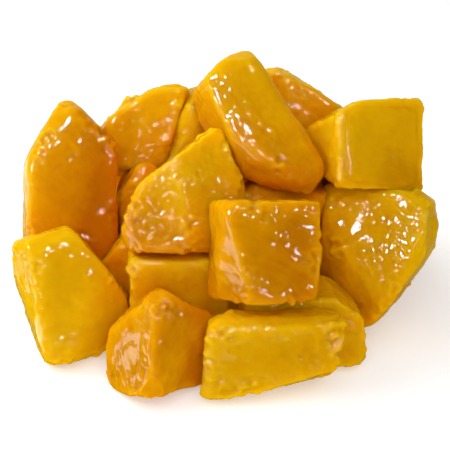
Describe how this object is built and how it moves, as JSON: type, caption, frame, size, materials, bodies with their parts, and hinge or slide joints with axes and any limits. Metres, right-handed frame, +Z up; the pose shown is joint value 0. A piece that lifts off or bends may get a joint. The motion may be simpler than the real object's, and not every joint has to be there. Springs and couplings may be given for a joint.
{
  "type": "diced mango",
  "caption": "Loose heap of ripe, wet, hand-cut fruit dice with soft edges, piled on its own flat underside as a garnish, filling or portion.",
  "frame": {"origin": "on the surface the heap stands on, under the middle of its bounding box", "axes": "+Z up, +X to the right along the heap's longest side, -Y towards the side it is seen from"},
  "size_m": [0.0908, 0.086, 0.0567],
  "materials": {
    "flesh_yellow": "wet, juicy yellow flesh with a glaze of its own syrup",
    "flesh_golden": "wet, juicy golden flesh with a glaze of its own syrup",
    "flesh_orange": "wet, juicy orange flesh with a glaze of its own syrup"
  },
  "bodies": {
    "root": {"die_left_front": "flesh_yellow", "die_front_left": "flesh_golden", "die_front": "flesh_yellow", "die_front_right": "flesh_yellow", "die_right": "flesh_yellow", "die_low_middle": "flesh_golden", "die_low_left": "flesh_golden", "die_middle": "flesh_golden", "die_upper_left": "flesh_golden", "die_tall_left": "flesh_orange", "die_inner_left": "flesh_orange", "die_inner_right": "flesh_orange", "die_upper_right": "flesh_yellow", "die_top": "flesh_golden", "die_back_right": "flesh_orange", "die_back_left": "flesh_golden", "die_back_middle": "flesh_orange", "die_core_front": "flesh_golden", "die_core_left": "flesh_golden", "die_core_right": "flesh_orange", "die_side_right": "flesh_golden", "die_shoulder_right": "flesh_orange", "die_rear_left": "flesh_golden", "die_rear_middle": "flesh_yellow", "die_rear_right": "flesh_orange", "die_rear_upper_left": "flesh_yellow", "die_rear_upper_right": "flesh_golden", "die_side_left": "flesh_yellow"}
  },
  "joints": []
}
